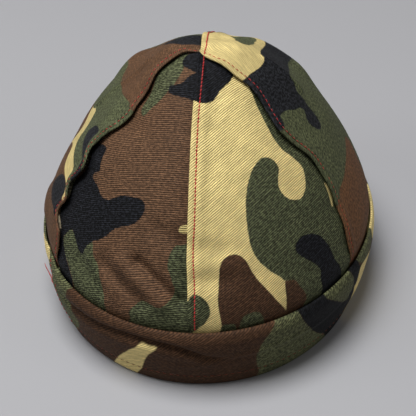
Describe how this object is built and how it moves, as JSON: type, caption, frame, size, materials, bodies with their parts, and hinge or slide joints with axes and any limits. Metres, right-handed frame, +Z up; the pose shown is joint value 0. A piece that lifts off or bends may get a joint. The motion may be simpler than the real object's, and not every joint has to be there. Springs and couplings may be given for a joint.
{
  "type": "welding cap",
  "caption": "Soft cotton welding cap: panelled dome with topstitched seams, turned fabric band and short flat bill.",
  "frame": {"origin": "on the surface that the cap rests on, under the middle of the whole cap including its bill", "axes": "+Y out of the front over the bill, +Z up to the apex of the crown, +X to the wearer's right"},
  "size_m": [0.1772, 0.2542, 0.143],
  "materials": {
    "crown_drill": "matte cotton drill with a four-colour woodland print, topstitched in red",
    "band_drill": "matte cotton drill with a four-colour woodland print",
    "bill_drill": "matte cotton drill with a four-colour woodland print, rows of red topstitching",
    "red_thread": "twisted polyester sewing thread"
  },
  "bodies": {
    "root": {"crown_panel_back_right": "crown_drill", "crown_panel_front_right": "crown_drill", "crown_panel_front_left": "crown_drill", "crown_panel_back_left": "crown_drill", "band": "band_drill", "bill": "bill_drill"}
  },
  "joints": []
}
